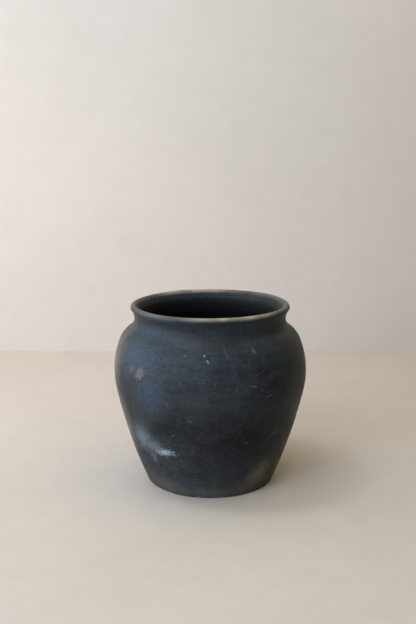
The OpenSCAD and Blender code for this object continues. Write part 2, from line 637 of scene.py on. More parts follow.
class ClayPainter:
    """Writes the material of one piece of clay.

    A tuple below says how an effect's value is read: where its share starts, where the share is
    full and, if these aren't 0 and 1, the two shares.

    Args:
        finish: the clay's colours.
        effects: the shared node groups.
        node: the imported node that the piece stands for.
        marks: the patches and scratches on the pot, of which those on the piece are laid.
    """

    FORM = ("inside", "relief", "crest")
    MARK_MARGIN_MM = 2.0

    CLOUDS = (0.34, 0.68)
    CLOUDS_SHARE = 0.30
    BLOTCHES = (0.36, 0.66, (0.0, 0.40))
    BANDS = (0.38, 0.64, (0.0, 0.32))
    RELIEF_SHARE = 0.16
    PALE_LINES = (0.56, 0.74, (0.0, 0.42))
    DARK_LINES = (0.45, 0.30, (0.0, 0.38))
    DARK_FRECKLES = (0.56, 0.70, (0.0, 0.60))
    PALE_FRECKLES = (0.43, 0.30, (0.0, 0.55))
    GRIT_SHARE = 0.22
    SCRATCH_SHARE = 0.26
    SPECK_SHARE = 0.22
    PIT_SHADE_SHARE = 0.55

    INSIDE_SHADE_DEPTH = (237 * MM, 227 * MM, (0.0, 0.97))
    DUST_HEIGHT = (30 * MM, 3 * MM)
    DUST_BLOTCHES = (0.36, 0.66, (0.18, 0.60))
    WORN_TURN = 1.25
    WORN_SWING = (0.1, 1.0, (0.28, 1.0))
    WORN_BLOTCHES = (0.36, 0.58, (0.55, 1.0))
    FOOT_HEIGHT = (2.6 * MM, 0.3 * MM)
    FOOT_BLOTCHES = (0.46, 0.62, (0.0, 0.40))

    ROUGH_BLOTCHES = (0.30, 0.72)
    ROUGH_BELOW = 0.05
    ROUGH_ABOVE = 0.08
    ROUGH_BANDS = (0.34, 0.68, (-0.05, 0.05))
    ROUGH_INSIDE = 0.20
    ROUGH_CHALK = 0.25

    TOOTH_DEPTH = 0.10
    LINE_DEPTH = 0.34
    FRECKLE_DEPTH = 0.16
    PIT_DEPTH = 0.5
    SCRATCH_DEPTH = 0.25
    CHIP_DEPTH = 0.6
    BUMP_STRENGTH = 0.55
    BUMP_DISTANCE = 0.35 * MM

    def __init__(self, finish: ClayFinish, effects: ClayEffects, node: str,
                 marks: tuple[Mark, ...]) -> None:
        """Starts the material with the shared effects, the form of the piece and its marks."""
        self.finish = finish
        self.material = bpy.data.materials.new(f"{finish.name}_{node}")
        self.material.use_nodes = True
        self.material.node_tree.nodes.clear()
        self.sheet = Sheet(self.material.node_tree)
        point = self.sheet.node("ShaderNodeTexCoord").outputs["Object"]
        self.place = self.sheet.group(effects.place, Point=point)
        self.wiping = self.sheet.group(effects.wiping, Point=point)
        self.grain = self.sheet.group(effects.grain, Point=point)
        self.mottle = self.sheet.group(effects.mottle, Point=point)
        self.inside, self.relief, self.crest = (
            self.sheet.node("ShaderNodeAttribute", attribute_name=name).outputs["Fac"]
            for name in self.FORM)
        self.outside = self.sheet.math("SUBTRACT", 1.0, self.inside, clamp=True)
        low, high = (corner.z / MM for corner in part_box(node))
        self.masks = self._masks(effects, [
            mark for mark in marks
            if mark.meets(low - self.MARK_MARGIN_MM, high + self.MARK_MARGIN_MM)])

    def _masks(self, effects: ClayEffects, marks: list[Mark]) -> dict[MarkKind, Socket]:
        """Builds one mask for each kind of mark.

        Args:
            effects: the shared node groups.
            marks: the marks to lay.

        Returns:
            Kind of mark to its mask, in the order that the kinds are laid.
        """
        masks = {}
        for mark in marks:
            made = self.sheet.group(
                effects.mark, Around=self.place["Around"], Out=self.place["Out"],
                Up=self.place["Up"], At_Around=math.radians(mark.azimuth),
                At_Up=mark.height_mm * MM, Long=mark.long_mm * MM, Wide=mark.wide_mm * MM,
                Tilt=math.radians(mark.tilt), Grain=mark.kind.grain, Streaks=mark.streaks,
                Roughly=mark.roughly, Soft=mark.soft, Strength=mark.strength)["Mask"]
            known = masks.get(mark.kind)
            masks[mark.kind] = made if known is None else self.sheet.math("MAXIMUM", known, made)
        return {kind: self.sheet.times(mask, self.outside)
                for kind, mask in masks.items()}

    def paint(self) -> bpy.types.Material:
        """Writes the shader and returns the finished material."""
        shader = self.sheet.node("ShaderNodeBsdfPrincipled")
        self.sheet.feed(shader.inputs["Base Color"], self._colour())
        self.sheet.feed(shader.inputs["Roughness"], self._roughness())
        self.sheet.feed(shader.inputs["Normal"], self._bump())
        shader.inputs["Specular IOR Level"].default_value = self.finish.specular
        shader.inputs["Specular Tint"].default_value = self.finish.specular_tint
        shader.inputs["Sheen Weight"].default_value = self.finish.sheen
        out = self.sheet.node("ShaderNodeOutputMaterial")
        self.sheet.feed(out.inputs["Surface"], shader.outputs[0])
        return self.material

    def _colour(self) -> Socket:
        """Builds the base colour."""
        sheet, finish = self.sheet, self.finish
        amount = sheet.remap(self.mottle["Clouds"], *self.CLOUDS)
        amount = sheet.times(amount, self.CLOUDS_SHARE)
        amount = sheet.math("ADD", amount, sheet.remap(self.mottle["Blotches"], *self.BLOTCHES))
        amount = sheet.math("ADD", amount, sheet.remap(self.wiping["Bands"], *self.BANDS))
        amount = sheet.plus(amount, self.relief, self.RELIEF_SHARE)
        colour = sheet.colour(amount, finish.dark, finish.pale)
        colour = self._marked(colour, UNDER_WIPING)
        lines, freckles = self.wiping["Lines"], self.mottle["Freckles"]
        for value, shows, over in (
                (lines, self.PALE_LINES, finish.pale), (lines, self.DARK_LINES, finish.soot_and_shade),
                (freckles, self.DARK_FRECKLES, finish.soot_and_shade),
                (freckles, self.PALE_FRECKLES, finish.pale)):
            colour = sheet.colour(sheet.remap(value, *shows), colour, over)
        colour = sheet.tint(self.grain["Grit"], self.GRIT_SHARE, colour, finish.dust)
        colour = sheet.tint(self.wiping["Scratches"], self.SCRATCH_SHARE, colour, finish.dust)
        colour = self._worn(self._shaded_and_dusty(colour))
        colour = self._marked(colour, OVER_WIPING)
        colour = sheet.tint(self.grain["Specks"], self.SPECK_SHARE, colour, MarkKind.CHALK.colour)
        # Painted shade in the small pits of the grain
        return sheet.tint(self.grain["Pits"], self.PIT_SHADE_SHARE, colour, finish.soot_and_shade)

    def _marked(self, colour: Socket, kinds: tuple[MarkKind, ...]) -> Socket:
        """Lays the marks of some kinds over a colour and returns what shows."""
        for kind, mask in self.masks.items():
            if kind in kinds:
                colour = self.sheet.colour(mask, colour, kind.colour)
        return colour

    def _shaded_and_dusty(self, colour: Socket) -> Socket:
        """Darkens the inside with depth, partly the clay's own smoke-black and partly painted shade,
        adds dust low on the wall, and returns the colour.
        """
        sheet, up = self.sheet, self.place["Up"]
        # Painted shade inside the mouth, darker with depth, partly the clay's own smoke-black
        depth = sheet.remap(up, *self.INSIDE_SHADE_DEPTH)
        inside_shade = sheet.times(self.inside, depth)
        colour = sheet.colour(inside_shade, colour, self.finish.soot_and_shade)
        dusty = sheet.remap(up, *self.DUST_HEIGHT)
        patchy = sheet.remap(self.mottle["Blotches"], *self.DUST_BLOTCHES)
        dusty = sheet.times(dusty, patchy)
        dusty = sheet.times(dusty, self.outside)
        return sheet.colour(dusty, colour, self.finish.dust)

    def _worn(self, colour: Socket) -> Socket:
        """Wears the lip and the edge of the foot bare, and returns the colour."""
        sheet, blotches = self.sheet, self.mottle["Blotches"]
        # Hands wore the lip most in front, a little to the right, and opposite at the back
        swing = sheet.math("ADD", self.place["Around"], self.WORN_TURN)
        swing = sheet.math("COSINE", sheet.times(swing, 2.0))
        worn = sheet.times(self.crest, sheet.remap(swing, *self.WORN_SWING))
        worn = sheet.times(worn, sheet.remap(blotches, *self.WORN_BLOTCHES))
        colour = sheet.colour(worn, colour, self.finish.rubbed)
        foot = sheet.remap(self.place["Up"], *self.FOOT_HEIGHT)
        foot = sheet.times(foot, sheet.remap(blotches, *self.FOOT_BLOTCHES))
        return sheet.colour(foot, colour, self.finish.rubbed)

    def _roughness(self) -> Socket:
        """Builds the roughness: bands of wiping are smoother, chalk and the inside rougher."""
        sheet, middle = self.sheet, self.finish.roughness
        value = sheet.remap(self.mottle["Blotches"], *self.ROUGH_BLOTCHES,
                            (middle - self.ROUGH_BELOW, middle + self.ROUGH_ABOVE))
        value = sheet.math("ADD", value, sheet.remap(self.wiping["Bands"], *self.ROUGH_BANDS))
        value = sheet.plus(value, self.inside, self.ROUGH_INSIDE)
        if MarkKind.CHALK in self.masks:
            value = sheet.plus(value, self.masks[MarkKind.CHALK], self.ROUGH_CHALK)
        return sheet.math("MINIMUM", value, 1.0)

    def _bump(self) -> Socket:
        """Builds the fine relief that the mesh doesn't hold."""
        sheet = self.sheet
        height = sheet.times(self.grain["Tooth"], self.TOOTH_DEPTH)
        height = sheet.plus(height, self.wiping["Lines"], self.LINE_DEPTH)
        height = sheet.plus(height, self.mottle["Freckles"], self.FRECKLE_DEPTH)
        height = sheet.minus(height, self.grain["Pits"], self.PIT_DEPTH)
        height = sheet.minus(height, self.wiping["Scratches"], self.SCRATCH_DEPTH)
        if MarkKind.CHIP in self.masks:
            height = sheet.minus(height, self.masks[MarkKind.CHIP], self.CHIP_DEPTH)
        made = sheet.node("ShaderNodeBump")
        made.inputs["Strength"].default_value = self.BUMP_STRENGTH
        made.inputs["Distance"].default_value = self.BUMP_DISTANCE
        sheet.feed(made.inputs["Height"], height)
        return made.outputs[0]


# ---- Hand work on the clay ----


def eased(value: np.ndarray, low: float, high: float) -> np.ndarray:
    """Returns 0 at low and 1 at high, eased at both ends and held beyond them."""
    share = np.clip((value - low) / (high - low), 0.0, 1.0)
    return share * share * (3.0 - 2.0 * share)


class Lumps:
    """Smooth, even randomness that is the same on every run."""

    PRIMES = (73856093, 19349663, 83492791)
    SCRAMBLE = 1274126177
    LARGEST = 0x7FFFFFFF
    FOLD = 13
    DROP = 7
    SLOPE_BITS = 1023
    GAIN = 1.4

    @classmethod
    def at(cls, x: np.ndarray, y: np.ndarray, z: np.ndarray) -> np.ndarray:
        """Reads the lumps.

        Args:
            x: first coordinate of each place, in lumps.
            y: second coordinate.
            z: third coordinate.

        Returns:
            A value between -1 and 1 for each place.
        """
        cells = [np.floor(item).astype(np.int64) for item in (x, y, z)]
        parts = [item - cell for item, cell in zip((x, y, z), cells)]
        ease = [part ** 3 * (part * (part * 6.0 - 15.0) + 10.0) for part in parts]
        total = np.zeros(len(x))
        for corner in itertools.product((0, 1), repeat=3):
            seed = sum((cell + step) * prime
                       for cell, step, prime in zip(cells, corner, cls.PRIMES))
            slope = np.zeros(len(x))
            share = np.ones(len(x))
            for axis, step in enumerate(corner):
                seed = (seed ^ (seed >> cls.FOLD)) * cls.SCRAMBLE & cls.LARGEST
                bits = seed >> cls.DROP & cls.SLOPE_BITS
                slope += (bits / (cls.SLOPE_BITS / 2.0) - 1.0) * (parts[axis] - step)
                share *= ease[axis] if step else 1.0 - ease[axis]
            total += slope * share
        return total * cls.GAIN

    @classmethod
    def ring(cls, turn: np.ndarray, size: float, level: np.ndarray | float) -> np.ndarray:
        """Reads the lumps on a circle, so that they meet themselves round the pot.

        Args:
            turn: the angle of each place.
            size: the circle's radius, in lumps.
            level: the height of each place, in lumps.

        Returns:
            A value between -1 and 1 for each place.
        """
        return cls.at(np.cos(turn) * size, np.sin(turn) * size, level + np.zeros(len(turn)))


@dataclass(frozen=True)
class Flake:
    """A chip struck from the clay, scooped by a ball.

    Args:
        azimuth: where it is round the pot, in degrees.
        out_mm: distance from the axis of the point on the surface.
        up_mm: height of that point.
        facing: the way the surface faces there, in degrees above level.
        ball_mm: radius of the scooping ball.
        bite_mm: how deep the ball goes.
    """

    azimuth: float
    out_mm: float
    up_mm: float
    facing: float
    ball_mm: float
    bite_mm: float

    def scoop(self, points: np.ndarray) -> None:
        """Pushes the points that lie inside the ball out to its surface, in place."""
        reach = (self.ball_mm - self.bite_mm) * MM
        out = self.out_mm * MM + reach * math.cos(math.radians(self.facing))
        up = self.up_mm * MM + reach * math.sin(math.radians(self.facing))
        turn = math.radians(self.azimuth)
        centre = np.array((out * math.cos(turn), out * math.sin(turn), up))
        away = points - centre
        far = np.linalg.norm(away, axis=1)
        struck = far < self.ball_mm * MM
        points[struck] = centre + away[struck] * (self.ball_mm * MM / far[struck])[:, None]


@dataclass(frozen=True)
class HandWork:
    """How far the hands left the clay from a true turned form.

    Everything depends only on the place of a point, so that pieces which share a seam keep it.

    Args:
        height: height of the pot.
        seams: heights of the seams on the outside.
        flakes: chips struck from lip and foot.
        oval_mm: how far the mouth is out of round.
        dent_mm: depth of the broad dents.
        ripple_mm: depth of the finger ripples outside.
        inner_ripple_mm: depth of the finger ripples inside.
        seam_mm: height of the ghost that a luted seam leaves.
        lip_wave_mm: how far the lip rises and falls.
        lip_tilt_mm: how much higher the lip is on its right.
    """

    height: float
    seams: tuple[float, ...]
    flakes: tuple[Flake, ...]
    oval_mm: float = 0.55
    dent_mm: float = 0.50
    ripple_mm: float = 0.16
    inner_ripple_mm: float = 0.25
    seam_mm: float = 0.20
    lip_wave_mm: float = 0.45
    lip_tilt_mm: float = 0.50

    # Out of round: where the oval's long side is, a share with three lobes, and how they twist
    OVAL_TURN = 0.9
    LOBES_SHARE = 0.4
    LOBES_TWIST = 4.0
    # Dents: how many there are in a metre, where they start, and the share of the smaller ones
    DENTS = 14.0
    DENTS_START = 3.1
    SMALL_DENTS = 34.0
    SMALL_DENTS_SHARE = 0.45
    # The foot stays flat and round, over these shares of the height and distances
    STEADY_FOOT = (0.0, 0.12)
    STEADY_SLAB = (0.0, 50 * MM)
    LEVEL_FOOT_MM = (1.0, 9.0)
    # Ripples: how far they climb in a turn, then their size round the pot and their height
    CLIMB_MM = 1.2
    BROAD_RIPPLE = (0.7, 7.5)
    FINE_RIPPLE = (1.3, 2.6)
    FINE_START = 9.0
    FINE_SHARE = 0.38
    # Ghosts of the seams: how far each wanders, how wide it is, and how one differs from the next
    WANDER = 0.9 * MM
    WANDER_STEP = 1.9
    GHOST_WIDTH = 1.7 * MM
    SHOWS_STEP = 2.3
    # The lip's waves: their size round the pot and where they start
    BROAD_WAVE = (1.1, 5.0)
    FINE_WAVE = (3.4, 8.0)
    FINE_WAVE_SHARE = 0.3
    LIP_SHARE = (0.86, 1.0)
    LEAST_OUT = 1e-6
    RELIEF_GAIN = 1.4

    def _sway(self, points: np.ndarray, turn: np.ndarray) -> np.ndarray:
        """Returns how far the wall is out of round and dented, in millimetres."""
        x, y, z = points.T
        rise = z / self.height
        lobes = self.LOBES_SHARE * np.sin(3.0 * turn + self.LOBES_TWIST * rise)
        oval = self.oval_mm * (rise * np.cos(2.0 * turn + self.OVAL_TURN) + lobes)
        dent = Lumps.at(x * self.DENTS + self.DENTS_START, y * self.DENTS, z * self.DENTS)
        small = Lumps.at(x * self.SMALL_DENTS, y * self.SMALL_DENTS, z * self.SMALL_DENTS)
        dent = dent + self.SMALL_DENTS_SHARE * small
        return eased(rise, *self.STEADY_FOOT) * (oval + self.dent_mm * dent)

    def _ripple(self, points: np.ndarray, turn: np.ndarray, inner: np.ndarray) -> np.ndarray:
        """Returns the finger ripples, in millimetres."""
        depth = self.ripple_mm + (self.inner_ripple_mm - self.ripple_mm) * inner
        climb = points[:, 2] / MM + self.CLIMB_MM * np.sin(turn)
        (broad_round, broad_mm), (fine_round, fine_mm) = self.BROAD_RIPPLE, self.FINE_RIPPLE
        broad = Lumps.ring(turn, broad_round, climb / broad_mm)
        fine = Lumps.ring(turn, fine_round, climb / fine_mm + self.FINE_START)
        level = eased(points[:, 2] / MM, *self.LEVEL_FOOT_MM)
        return depth * level * (broad + self.FINE_SHARE * fine)

    def _ghost(self, points: np.ndarray, turn: np.ndarray) -> np.ndarray:
        """Returns the faint ridges that the seams leave, in millimetres."""
        total = np.zeros(len(points))
        for number, seam in enumerate(self.seams):
            wander = self.WANDER * np.sin(2.0 * turn + number * self.WANDER_STEP)
            away = (points[:, 2] - seam - wander) / self.GHOST_WIDTH
            shows = 0.5 + 0.5 * np.sin(turn + number * self.SHOWS_STEP)
            total += self.seam_mm * shows * np.exp(-away * away)
        return total

    def work(self, points: np.ndarray, inner: np.ndarray) -> np.ndarray:
        """Moves points from the turned form to where the hands left them.

        Args:
            points: a row of x, y and z for each point, changed in place.
            inner: 1 on the inside face and 0 on the outside, for each point.

        Returns:
            Each point's fine relief: 0.5 where it has none, 1 on a ridge and 0 in a hollow.
        """
        turn = np.arctan2(points[:, 1], points[:, 0])
        out = np.maximum(np.hypot(points[:, 0], points[:, 1]), self.LEAST_OUT)
        fine = self._ripple(points, turn, inner) + self._ghost(points, turn)
        swell = (self._sway(points, turn) + fine) * MM * eased(out, *self.STEADY_SLAB)
        wave = Lumps.ring(turn, *self.BROAD_WAVE)
        wave += self.FINE_WAVE_SHARE * Lumps.ring(turn, *self.FINE_WAVE)
        lift = eased(points[:, 2] / self.height, *self.LIP_SHARE) * MM
        points[:, 2] += lift * (self.lip_wave_mm * wave + self.lip_tilt_mm * np.cos(turn))
        points[:, :2] *= ((out + swell) / out)[:, None]
        for flake in self.flakes:
            flake.scoop(points)
        return np.clip(0.5 + self.RELIEF_GAIN * fine, 0.0, 1.0)


# ---- Pieces of the pot ----


class Corner(Enum):
    """How far an outline turns at a point, in radians, before the point counts as a corner."""

    STRAIGHT = 0.002
    SHARP = 0.5


class Section:
    """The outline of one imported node, cut by the half plane where x is positive and y is 0.

    Args:
        node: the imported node.
        wall_cuts: how many points are put into each step of the curved faces.
        flat_step: longest step left along seams and flat faces.
    """

    TOUCH = 1e-6
    WELD = 20 * TOUCH
    LONG_EDGE = 5 * MM

    def __init__(self, node: bpy.types.Object, wall_cuts: int, flat_step: float) -> None:
        """Cuts the node and divides its outline."""
        self.mesh = bmesh.new()
        self.mesh.from_mesh(node.data)
        bmesh.ops.remove_doubles(self.mesh, verts=self.mesh.verts, dist=self.TOUCH)
        self._cut((0.0, 1.0, 0.0), keep_plane_only=True)
        self._cut((-1.0, 0.0, 0.0), keep_plane_only=False)
        bmesh.ops.remove_doubles(self.mesh, verts=self.mesh.verts, dist=self.WELD)
        idle = [v for v in self.mesh.verts if self._turn(v) < Corner.STRAIGHT.value]
        bmesh.ops.dissolve_verts(self.mesh, verts=idle)
        self.edges = [tuple((v.co.x, v.co.z) for v in edge.verts) for edge in self.mesh.edges]
        self._divide(wall_cuts, flat_step)

    def _cut(self, normal: tuple[float, float, float], keep_plane_only: bool) -> None:
        """Cuts by a plane through the axis and keeps the cut, or what lies behind it."""
        everything = self.mesh.verts[:] + self.mesh.edges[:] + self.mesh.faces[:]
        bmesh.ops.bisect_plane(self.mesh, geom=everything, dist=self.TOUCH,
                               plane_co=(0.0, 0.0, 0.0), plane_no=normal, clear_outer=True,
                               clear_inner=keep_plane_only)

    @staticmethod
    def _turn(vert: bmesh.types.BMVert) -> float:
        """Returns how far the outline turns at a point, or a right angle at its ends."""
        return vert.calc_edge_angle(math.pi / 2) if len(vert.link_edges) == 2 else math.pi / 2

    def _beyond(self, edge: bmesh.types.BMEdge, vert: bmesh.types.BMVert) -> Vector:
        """Returns the outline's next point past one end of an edge.

        Args:
            edge: the edge.
            vert: the end of it that is passed.

        Returns:
            The next point, or a point straight on where the outline has a corner there.
        """
        if self._turn(vert) > Corner.SHARP.value:
            return 2.0 * vert.co - edge.other_vert(vert).co
        onward = next(e for e in vert.link_edges if e is not edge)
        return onward.other_vert(vert).co.copy()

    def _divide(self, wall_cuts: int, flat_step: float) -> None:
        """Divides every edge, the curved faces along a smooth curve through their points."""
        jobs = []
        for edge in self.mesh.edges:
            near, far = edge.verts
            length = edge.calc_length()
            cuts = math.ceil(length / flat_step) - 1 if length > self.LONG_EDGE else wall_cuts
            points = (self._beyond(edge, near), near.co.copy(), far.co.copy(),
                      self._beyond(edge, far))
            jobs.append((edge, cuts, points))
        for edge, cuts, points in jobs:
            if cuts > 0:
                made = bmesh.ops.subdivide_edges(self.mesh, edges=[edge], cuts=cuts)["geom_inner"]
                for vert in made:
                    if isinstance(vert, bmesh.types.BMVert):
                        vert.co = self._curved(points, vert.co)

    @staticmethod
    def _curved(points: tuple[Vector, Vector, Vector, Vector], at: Vector) -> Vector:
        """Returns the point of a smooth curve that lies beside a point of its chord.

        Args:
            points: four points of the outline; the curve runs from the second to the third.
            at: a point on the straight line between those two.

        Returns:
            The point on the curve.
        """
        before, start, end, after = points
        chord = end - start
        t = (at - start).dot(chord) / chord.length_squared
        lead = (end - before).normalized() * chord.length
        trail = (after - start).normalized() * chord.length
        cube, square = t * t * t, t * t
        return (start * (2 * cube - 3 * square + 1) + lead * (cube - 2 * square + t)
                + end * (3 * square - 2 * cube) + trail * (cube - square))


class Outline:
    """How far the outside of the pot is from its axis at each height.

    Args:
        edges: pairs of (distance out, height) points that the nodes' outlines join.
        top: height of the pot.
    """

    STEP = 0.25 * MM
    LEAST_RISE = 1e-9
    WALL_DEPTH = (1.5 * MM, 5.5 * MM)
    UNDERSIDE = 5 * MM

    def __init__(self, edges: list[tuple[tuple[float, float], tuple[float, float]]],
                 top: float) -> None:
        """Tabulates the outside."""
        self.heights = np.arange(0.0, top, self.STEP)
        self.radii = np.zeros(len(self.heights))
        for ends in edges:
            (x0, z0), (x1, z1) = sorted(ends, key=lambda end: end[1])
            met = (self.heights >= z0) & (self.heights <= z1)
            out = np.interp(self.heights[met], (z0, max(z1, z0 + self.LEAST_RISE)), (x0, x1))
            self.radii[met] = np.maximum(self.radii[met], out)

    def out(self, height: np.ndarray | float) -> np.ndarray | float:
        """Returns the outside's distance from the axis at a height."""
        return np.interp(height, self.heights, self.radii)

    def inner(self, points: np.ndarray) -> np.ndarray:
        """Returns 1 on the inside face, 0 outside and underneath, and between them over the lip."""
        depth = self.out(points[:, 2]) - np.hypot(points[:, 0], points[:, 1])
        return eased(depth, *self.WALL_DEPTH) * (points[:, 2] > self.UNDERSIDE)


@dataclass(frozen=True)
class Pit:
    """A small hole left where a bit of grit burnt or fell out.

    Args:
        azimuth: where it is round the pot, in degrees.
        up_mm: its height.
        wide_mm: its radius.
        deep_mm: its depth.
    """

    azimuth: float
    up_mm: float
    wide_mm: float
    deep_mm: float

    ROUND_MM = 1.5
    CUTS = 3
    SKIN = 3 * MM

    def place(self, outline: Outline) -> Vector:
        """Returns the middle of the pit's mouth."""
        out = outline.out(self.up_mm * MM)
        turn = math.radians(self.azimuth)
        return Vector((out * math.cos(turn), out * math.sin(turn), self.up_mm * MM))

    def refine(self, mesh: bmesh.types.BMesh, outline: Outline) -> None:
        """Divides the faces round the pit so that it can be round.

        Args:
            mesh: the piece that has the pit.
            outline: the outside of the pot.
        """
        middle = self.place(outline)
        reach = (self.wide_mm + self.ROUND_MM) * MM
        edges = {e for v in mesh.verts if (v.co - middle).length < reach for e in v.link_edges}
        bmesh.ops.subdivide_edges(mesh, edges=list(edges), cuts=self.CUTS, use_grid_fill=True)

    def sink(self, points: np.ndarray, outline: Outline) -> None:
        """Pushes the pit in.

        Args:
            points: the points of the piece that has the pit, changed in place.
            outline: the outside of the pot.
        """
        middle = np.array(self.place(outline))
        inward = np.array((-middle[0], -middle[1], 0.0)) / math.hypot(middle[0], middle[1])
        away = points - middle
        deep = away @ inward
        across = np.linalg.norm(away - deep[:, None] * inward, axis=1) / (self.wide_mm * MM)
        hit = (across < 1.0) & (np.abs(deep) < self.SKIN)
        points[hit] += (self.deep_mm * MM * (1.0 - across[hit] ** 3))[:, None] * inward


@dataclass
class Bench:
    """What every piece of clay is made with.

    Args:
        nodes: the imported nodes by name.
        hands: the hand work on the clay.
        outline: the outside of the pot.
        effects: the node groups that the finishes share.
        wall_cuts: points put into each step of the curved faces.
        flat_step: longest step along seams and flat faces.
        turns: divisions round the pot.
        wedges: how many equal wedges the turning is done in.
    """

    nodes: dict[str, bpy.types.Object]
    hands: HandWork
    outline: Outline
    effects: ClayEffects
    wall_cuts: int = 2
    flat_step: float = 4 * MM
    turns: int = 600
    wedges: int = 24

    CREST_MM = (239.0, 243.6)

    def turn(self, node: str, finish: ClayFinish, pits: tuple[Pit, ...] = ()) -> bpy.types.Object:
        """Makes one piece of clay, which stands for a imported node.

        Args:
            node: the node's name.
            finish: the piece's finish.
            pits: holes in it.

        Returns:
            The finished piece.
        """
        mesh = Section(self.nodes[node], self.wall_cuts, self.flat_step).mesh
        self._spin(mesh)
        for pit in pits:
            pit.refine(mesh, self.outline)
        bmesh.ops.recalc_face_normals(mesh, faces=mesh.faces)
        data = bpy.data.meshes.new(node + "_clay")
        mesh.to_mesh(data)
        mesh.free()
        self._shape(data, pits)
        data.shade_smooth()
        data.set_sharp_from_angle(angle=Corner.SHARP.value)
        data.materials.append(ClayPainter(finish, self.effects, node, MARKS).paint())
        piece = bpy.data.objects.new(node + "_clay", data)
        bpy.context.scene.collection.objects.link(piece)
        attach(piece, "root")
        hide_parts(node)
        LOG.info("%s: %d faces, stands for %s", piece.name, len(data.polygons), node)
        return piece

    def _spin(self, mesh: bmesh.types.BMesh) -> None:
        """Turns an outline round the axis: one wedge first, then copies of it all the way round.

        Args:
            mesh: holds the outline, and then the turned surface.
        """
        wedge = 2.0 * math.pi / self.wedges
        about = {"cent": (0.0, 0.0, 0.0), "axis": (0.0, 0.0, 1.0), "dvec": (0.0, 0.0, 0.0),
                 "space": Matrix.Identity(4), "use_merge": False, "use_normal_flip": False}
        bmesh.ops.spin(mesh, geom=mesh.verts[:] + mesh.edges[:], angle=wedge,
                       steps=self.turns // self.wedges, use_duplicate=False, **about)
        bmesh.ops.spin(mesh, geom=mesh.verts[:] + mesh.edges[:] + mesh.faces[:],
                       angle=2.0 * math.pi - wedge, steps=self.wedges - 1, use_duplicate=True,
                       **about)
        bmesh.ops.remove_doubles(mesh, verts=mesh.verts, dist=2 * Section.TOUCH)

    def _shape(self, data: bpy.types.Mesh, pits: tuple[Pit, ...]) -> None:
        """Moves every point to where the hands left it, and notes which face it is on.

        Args:
            data: the turned mesh.
            pits: holes in it.
        """
        points = np.zeros(len(data.vertices) * 3)
        data.vertices.foreach_get("co", points)
        points = points.reshape(-1, 3)
        inner = self.outline.inner(points)
        crest = eased(points[:, 2] / MM, *self.CREST_MM)
        relief = self.hands.work(points, inner)
        for pit in pits:
            pit.sink(points, self.outline)
        data.vertices.foreach_set("co", points.ravel())
        for name, values in zip(ClayPainter.FORM, (inner, relief, crest)):
            data.attributes.new(name, "FLOAT", "POINT").data.foreach_set("value", values)


@dataclass
class Foot:
    """The slab that the pot stands on and the first coil round it.

    Args:
        bench: what the clay is worked with.
        clay: finish of the coil.
        slab_clay: finish of the slab.
        pits: holes in the coil.
    """

    bench: Bench
    clay: ClayFinish
    slab_clay: ClayFinish
    pits: tuple[Pit, ...] = (Pit(-128.6, 43.3, 1.5, 2.2), Pit(64.0, 27.0, 1.2, 1.5))

    def build(self) -> list[bpy.types.Object]:
        """Makes the slab and the coil."""
        slab = self.bench.turn("base_slab", self.slab_clay)
        coil = self.bench.turn("foot_coil", self.clay, self.pits)
        return [slab, coil]


@dataclass
class Belly:
    """The coils from the foot up over the belly to the shoulder.

    Args:
        bench: what the clay is worked with.
        clay: finish of the coils.
        courses: the coils from the bottom up.
        pits: holes in the shoulder coil.
    """

    bench: Bench
    clay: ClayFinish
    courses: tuple[str, ...] = ("lower_wall_coil", "upper_wall_coil", "belly_coil")
    pits: tuple[Pit, ...] = (Pit(102.0, 190.0, 1.1, 1.3),)

    def build(self) -> list[bpy.types.Object]:
        """Makes the coils."""
        made = [self.bench.turn(course, self.clay) for course in self.courses]
        made.append(self.bench.turn("shoulder_coil", self.clay, self.pits))
        return made


@dataclass
class Mouth:
    """The hollow neck coil and the rounded lip coil.

    Args:
        bench: what the clay is worked with.
        clay: finish of the coils.
        courses: the coils from the bottom up.
    """

    bench: Bench
    clay: ClayFinish
    courses: tuple[str, ...] = ("neck_coil", "lip_coil")

    def build(self) -> list[bpy.types.Object]:
        """Makes the coils."""
        return [self.bench.turn(course, self.clay) for course in self.courses]


# ---- The studio ----


@dataclass(frozen=True)
class PlasterFinish:
    """Pale, faintly mottled plaster for the floor and the backdrop.

    Args:
        name: the material's name.
        pale: its lighter colour.
        deep: its darker colour.
        one_sided: true for a backdrop that is clear when seen from behind.
    """

    name: str
    pale: Colour
    deep: Colour
    one_sided: bool = False

    MOTTLE = (0.34, 0.68)
    BROAD_SHARE = 0.6
    SMALL_SHARE = 0.4
    ROUGHNESS = 0.7
    SPECULAR = 0.3

    def make(self) -> bpy.types.Material:
        """Builds the material."""
        material = bpy.data.materials.new(self.name)
        material.use_nodes = True
        material.node_tree.nodes.clear()
        sheet = Sheet(material.node_tree)
        point = sheet.node("ShaderNodeTexCoord").outputs["Object"]
        broad = sheet.noise(point, scale=2.6, detail=5.0, roughness=0.6, distortion=0.5)
        broad = sheet.remap(broad, *self.MOTTLE)
        small = sheet.noise(point, scale=26.0, detail=5.0, roughness=0.68, distortion=0.6)
        small = sheet.remap(small, *self.MOTTLE)
        amount = sheet.plus(sheet.times(broad, self.BROAD_SHARE), small, self.SMALL_SHARE)
        shader = sheet.node("ShaderNodeBsdfPrincipled")
        sheet.feed(shader.inputs["Base Color"], sheet.colour(amount, self.deep, self.pale))
        shader.inputs["Roughness"].default_value = self.ROUGHNESS
        shader.inputs["Specular IOR Level"].default_value = self.SPECULAR
        surface = shader.outputs[0]
        if self.one_sided:
            mixed = sheet.node("ShaderNodeMixShader")
            sheet.feed(mixed.inputs[0], sheet.node("ShaderNodeNewGeometry").outputs["Backfacing"])
            sheet.feed(mixed.inputs[1], surface)
            sheet.feed(mixed.inputs[2], sheet.node("ShaderNodeBsdfTransparent").outputs[0])
            surface = mixed.outputs[0]
        sheet.feed(sheet.node("ShaderNodeOutputMaterial").inputs["Surface"], surface)
        return material


